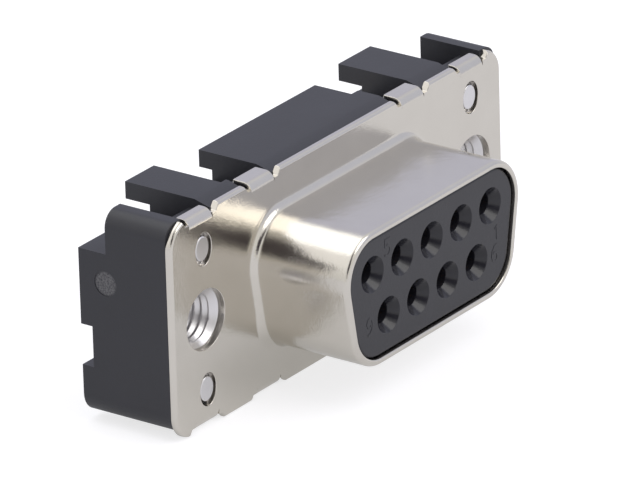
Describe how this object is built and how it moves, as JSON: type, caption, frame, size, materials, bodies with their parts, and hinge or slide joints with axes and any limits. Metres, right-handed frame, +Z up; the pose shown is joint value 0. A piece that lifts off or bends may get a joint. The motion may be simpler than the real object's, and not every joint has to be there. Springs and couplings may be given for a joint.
{
  "type": "d-sub connector",
  "caption": "D-shaped socket connector with a drawn steel shroud on a flange, threaded inserts and a black moulded body with straight board tails.",
  "frame": {"origin": "front face of the flange, midway between the two jackscrew holes", "axes": "-Y out of the mating face towards the plug, +X to the viewer's right at the mating face, +Z up with the wide side of the D on top"},
  "size_m": [0.0308, 0.0142, 0.0126],
  "materials": {
    "nickel_sheet": "bright nickel plate",
    "nickel_casting": "nickel plate",
    "black_moulding": "satin moulded",
    "contact_plate": "gold flash"
  },
  "bodies": {
    "root": {"front_shell": "nickel_sheet", "front_insulator": "black_moulding", "rear_insulator": "black_moulding", "threaded_insert_left": "nickel_casting", "threaded_insert_right": "nickel_casting", "socket_contact_1": "contact_plate", "socket_contact_2": "contact_plate", "socket_contact_3": "contact_plate", "socket_contact_4": "contact_plate", "socket_contact_5": "contact_plate", "socket_contact_6": "contact_plate", "socket_contact_7": "contact_plate", "socket_contact_8": "contact_plate", "socket_contact_9": "contact_plate"}
  },
  "joints": []
}
